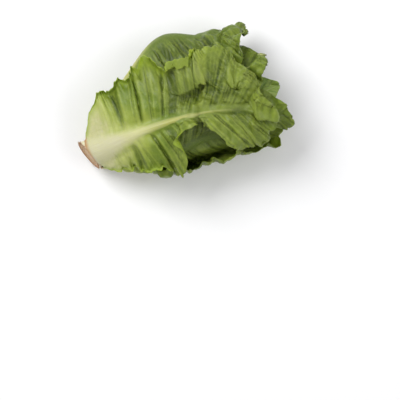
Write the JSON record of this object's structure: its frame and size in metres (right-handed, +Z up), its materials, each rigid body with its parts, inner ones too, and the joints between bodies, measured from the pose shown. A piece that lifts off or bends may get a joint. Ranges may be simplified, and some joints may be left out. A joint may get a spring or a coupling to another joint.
{
  "type": "romaine heart",
  "caption": "Romaine lettuce heart lying on its side: cut stem and overlapping ribbed, ruffled leaves that fan out towards their tips.",
  "frame": {"origin": "the middle of the bounding box's bottom, on the surface that the heart lies on", "axes": "+X along the stem from the cut butt to the leaf tips, +Z up, with the broadest leaf on top"},
  "size_m": [0.1896, 0.1332, 0.0824],
  "materials": {
    "stem": "cut plant stem, cream with a browned cut face",
    "outer_leaf": "crisp green leaf, waxy, cream rib",
    "inner_leaf": "crisp yellow-green leaf, waxy, pale rib"
  },
  "bodies": {
    "root": {"stem": "stem", "leaf_01": "outer_leaf", "leaf_02": "outer_leaf", "leaf_03": "outer_leaf", "leaf_04": "outer_leaf", "leaf_05": "outer_leaf", "leaf_06": "outer_leaf", "leaf_07": "outer_leaf", "leaf_08": "outer_leaf", "leaf_09": "inner_leaf", "leaf_10": "inner_leaf", "leaf_11": "inner_leaf", "leaf_12": "inner_leaf", "leaf_13": "inner_leaf", "leaf_14": "inner_leaf", "leaf_15": "inner_leaf", "leaf_16": "inner_leaf"}
  },
  "joints": []
}
